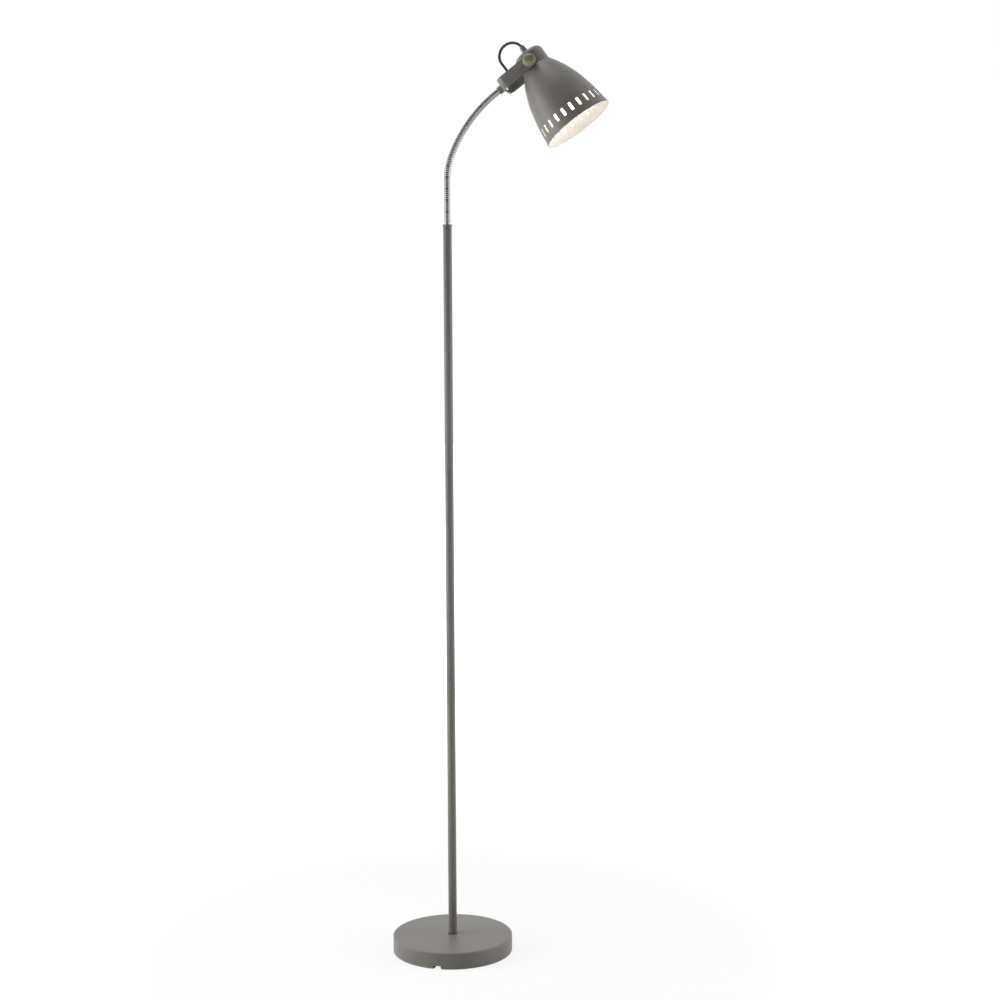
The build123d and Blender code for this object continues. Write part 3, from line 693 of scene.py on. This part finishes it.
# Cord grip: a small grey nylon grip screwed on the nipple, with a gathered neck round the cable.
GRIP_RADIUS, GRIP_NECK, GRIP_MOUTH, GRIP_BORE = 0.0056, 0.0049, 0.0039, 0.0025
GRIP_SEAT = CAP_TOP + 0.004
GRIP_TOP = CAP_TOP + 0.014
corners = [
    (NIPPLE_HOLE, CAP_TOP),
    (GRIP_RADIUS, CAP_TOP),
    (GRIP_RADIUS, GRIP_SEAT),
    (GRIP_NECK, GRIP_SEAT + 0.0007),
    (GRIP_MOUTH, GRIP_TOP),
    (GRIP_BORE, GRIP_TOP),
    (GRIP_BORE, GRIP_SEAT),
    (NIPPLE_HOLE, GRIP_SEAT),
]
grey_nylon, shader, place = new_finish("grey_nylon")
mould = grain(place, 0.0007)
feed(shader, "Base Color", mottled(mould, 0.3, 0.7, (0.17, 0.172, 0.175), (0.21, 0.212, 0.215)))
feed(shader, "Roughness", 0.4 + mould * 0.1)
raise_bumps(shader, mould, 0.00003)
bm = turned(outline(corners, {1: 0.0004, 2: 0.0005, 4: 0.0006}), 32, head_place)
finish_piece("cord_grip_nylon", bm, [grey_nylon], "head", ["cord_grip"])

# Lampholder: a white moulded holder with a clamping ring, a brass sleeve and a sprung contact.
white_plastic, shader, place = new_finish("white_plastic")
mould = grain(place, 0.001)
feed(shader, "Base Color", mottled(mould, 0.3, 0.7, (0.72, 0.71, 0.68), (0.78, 0.77, 0.74)))
feed(shader, "Roughness", 0.35 + mould * 0.12)
raise_bumps(shader, mould, 0.00003)
nickel_brass, shader, place = new_finish("nickel_brass")
tarnish = grain(place, 0.003, detail=4.0)
feed(shader, "Base Color", mottled(tarnish, 0.3, 0.7, (0.60, 0.55, 0.40), (0.72, 0.68, 0.55)))
feed(shader, "Metallic", 1.0)
feed(shader, "Roughness", 0.25 + tarnish * 0.2)
for name, node in (("lampholder_moulding", "lampholder_shell"), ("shade_clamp_ring", "shade_ring")):
    bm = solid_copy(node)
    finish_piece(name, bm, [white_plastic], "head", [node], outward=False)
coat_nodes(white_plastic, "lampholder_block")
coat_nodes(nickel_brass, "lampholder_sleeve", "lampholder_contact")

# Bulb: a frosted glass globe on a neck, lit warm, with a screw cap and a solder tip.
GLOBE = 0.030
GLOBE_MIDDLE = BELL_TOP - 0.067
GLOBE_PARTS = 24
BULB_NECK = 0.0136
GLASS_TOP = GLOBE_MIDDLE + 0.0488
glass_outline = [(0.0, GLOBE_MIDDLE - GLOBE)]
for part in range(1, GLOBE_PARTS + 1):
    angle = radians(-90.0 + 125.0 * part / GLOBE_PARTS)
    glass_outline.append((GLOBE * cos(angle), GLOBE_MIDDLE + GLOBE * sin(angle)))
glass_outline += [
    (0.0175, GLOBE_MIDDLE + 0.0268),
    (0.0149, GLOBE_MIDDLE + 0.0310),
    (BULB_NECK, GLOBE_MIDDLE + 0.0355),
    (BULB_NECK, GLASS_TOP),
    (0.0, GLASS_TOP),
]
bm = bmesh.new()
chain = [bm.verts.new((radius, 0.0, height)) for radius, height in glass_outline]
for first, second in zip(chain, chain[1:]):
    bm.edges.new((first, second))
bmesh.ops.spin(
    bm,
    geom=bm.verts[:] + bm.edges[:],
    cent=(0, 0, 0),
    axis=(0, 0, 1),
    angle=2 * pi,
    steps=64,
    use_merge=True,
)
bmesh.ops.remove_doubles(bm, verts=bm.verts, dist=0.000001)
bmesh.ops.transform(bm, matrix=head_place, verts=bm.verts)
lit_glass, shader, place = new_finish("lit_glass")
frost = grain(place, 0.012, detail=2.0)
feed(shader, "Base Color", (0.9, 0.88, 0.84, 1))
feed(shader, "Emission Color", mottled(frost, 0.3, 0.7, (1.0, 0.87, 0.75), (1.0, 0.90, 0.79)))
feed(shader, "Emission Strength", 2.45)
feed(shader, "Roughness", 0.3 + frost * 0.1)
finish_piece("bulb_globe", bm, [lit_glass], "bulb", ["bulb_glass"])
bulb_metal, shader, place = new_finish("bulb_metal")
draw = grain(place, 0.002, detail=3.0)
feed(shader, "Base Color", mottled(draw, 0.3, 0.7, (0.62, 0.62, 0.62), (0.7, 0.7, 0.7)))
feed(shader, "Metallic", 1.0)
feed(shader, "Roughness", 0.25 + draw * 0.15)
coat_nodes(bulb_metal, "bulb_cap", "bulb_contact")

# Hand knobs: turned brass with an antique finish and a knurled grip, one on each arm of the yoke,
# each on its own stud with a plain washer under it.
KNOB_RADIUS, KNOB_FOOT_RADIUS = 0.011, 0.0095
KNOB_START, KNOB_END = 0.03065, 0.03945
KNOB_CROWN, KNOB_FOOT_HEIGHT = 0.0060, 0.0012
KNURLS, KNURL_DEPTH, KNURL_FROM = 120, 0.00045, 0.01085
antique_brass, shader, place = new_finish("antique_brass")
patina = grain(place, 0.004, detail=5.0, rough=0.65)
feed(shader, "Base Color", mottled(patina, 0.3, 0.7, (0.18, 0.172, 0.105), (0.29, 0.283, 0.19)))
feed(shader, "Metallic", 0.35)
feed(shader, "Roughness", 0.45 + patina * 0.2)
raise_bumps(shader, grain(place, 0.0008), 0.00004)
knob_outline = [
    (0.0, KNOB_START),
    (KNOB_FOOT_RADIUS, KNOB_START),
    (KNOB_RADIUS, KNOB_START + KNOB_FOOT_HEIGHT),
]
for part in range(10, -1, -1):
    lean = radians(9 * part)
    knob_outline.append((KNOB_RADIUS * sin(lean), KNOB_END - KNOB_CROWN * (1 - cos(lean))))
for side, side_name in ((-1, "front"), (1, "back")):
    knob_place = Matrix.Translation(PIVOT) @ Matrix.Rotation(radians(-90.0 * side), 4, "X")
    bm = turned(knob_outline, KNURLS, knob_place)
    for vertex in bm.verts:
        local = knob_place.inverted() @ vertex.co
        radius = sqrt(local.x**2 + local.y**2)
        if radius > KNURL_FROM:
            turn = round(atan2(local.y, local.x) / (2 * pi / KNURLS))
            shrink = (radius - KNURL_DEPTH) / radius if turn % 2 else 1.0
            vertex.co = knob_place @ Vector((local.x * shrink, local.y * shrink, local.z))
    node = f"knob_{side_name}"
    finish_piece(node + "_brass", bm, [antique_brass], node, [node])
    coat_nodes(zinc_steel, f"pivot_stud_{side_name}", f"arm_washer_{side_name}")

# Studio: a white floor and surround, dark to reflections only on the camera's side, with four soft
# lights: a high one, one at either side and a small one near the floor.
FLOOR_HALF = 12.0
FLOOR_GLOW = 1.7
GLOW_NEAR, GLOW_FAR = 0.48, 1.0


def ray_kinds(start):
    """Three masks: rays from the camera, rays off glossy faces and rays sent through glass."""
    names = ("Is Camera Ray", "Is Glossy Ray", "Is Transmission Ray")
    return [start.node("ShaderNodeLightPath", output=name) for name in names]


stage_white, shader, place = new_finish("stage_white")
feed(shader, "Base Color", (0.4, 0.4, 0.4, 1))
feed(shader, "Roughness", 0.9)
camera_ray, glossy_ray, through_ray = ray_kinds(place)
seen = place.sum("MAXIMUM", place.sum("MAXIMUM", camera_ray, glossy_ray), through_ray)
reach = place.node("ShaderNodeVectorMath", {"operation": "LENGTH"}, {0: place}, output="Value")
glowing = GLOW_NEAR + ramp(reach, 0.5, 2.5) * (GLOW_FAR - GLOW_NEAR)
glow = place.node("ShaderNodeEmission", {}, {"Strength": FLOOR_GLOW})
lit = Finish(place.tree, shader.outputs[0])
mixed = place.node("ShaderNodeMixShader", {}, {0: seen * glowing, 1: lit, 2: glow})
place.tree.links.new(mixed.socket, place.tree.nodes["Material Output"].inputs["Surface"])
bm = bmesh.new()
bmesh.ops.create_grid(bm, x_segments=1, y_segments=1, size=FLOOR_HALF)
floor_mesh = bpy.data.meshes.new("studio_floor")
bm.to_mesh(floor_mesh)
bm.free()
floor_mesh.materials.append(stage_white)
floor = bpy.data.objects.new("studio_floor", floor_mesh)
bpy.context.collection.objects.link(floor)

world = bpy.data.worlds.new("studio_world")
world.use_nodes = True
bpy.context.scene.world = world
background = world.node_tree.nodes["Background"]
background.inputs["Color"].default_value = (1, 1, 1, 1)
start = Finish(world.node_tree)
facing = start.node("ShaderNodeTexCoord", output="Generated")
towards = facing.node("ShaderNodeSeparateXYZ", {}, {0: facing}, output="Y")
light_side = 1.0 - ramp(towards, 0.0, -0.5) * 0.85
camera_ray, glossy_ray, through_ray = ray_kinds(start)
other_rays = (0.3 + glossy_ray * 0.7) * light_side
seen = start.sum("MAXIMUM", camera_ray, through_ray)
strength = start.sum("MAXIMUM", seen, other_rays)
world.node_tree.links.new(strength.socket, background.inputs["Strength"])


def soft_light(name, place, aim, size, power):
    """A square area light aimed at a point."""
    data = bpy.data.lights.new(name, "AREA")
    data.size = size
    data.energy = power
    lamp = bpy.data.objects.new(name, data)
    lamp.location = place
    lamp.rotation_euler = (Vector(aim) - Vector(place)).to_track_quat("-Z", "Y").to_euler()
    bpy.context.collection.objects.link(lamp)


soft_light("high_light", (-1.0, -0.5, 5.2), (0.05, 0.0, 0.8), 2.6, 74.0)
soft_light("left_light", (-2.5, -0.9, 0.95), (0.05, 0.0, 1.0), 1.8, 43.0)
soft_light("right_light", (2.4, 0.3, 1.1), (0.05, 0.0, 0.9), 1.8, 26.0)
soft_light("low_light", (-0.9, -1.3, 0.15), (0.0, 0.0, 0.35), 0.6, 3.6)

bpy.context.scene.view_settings.view_transform = "Standard"
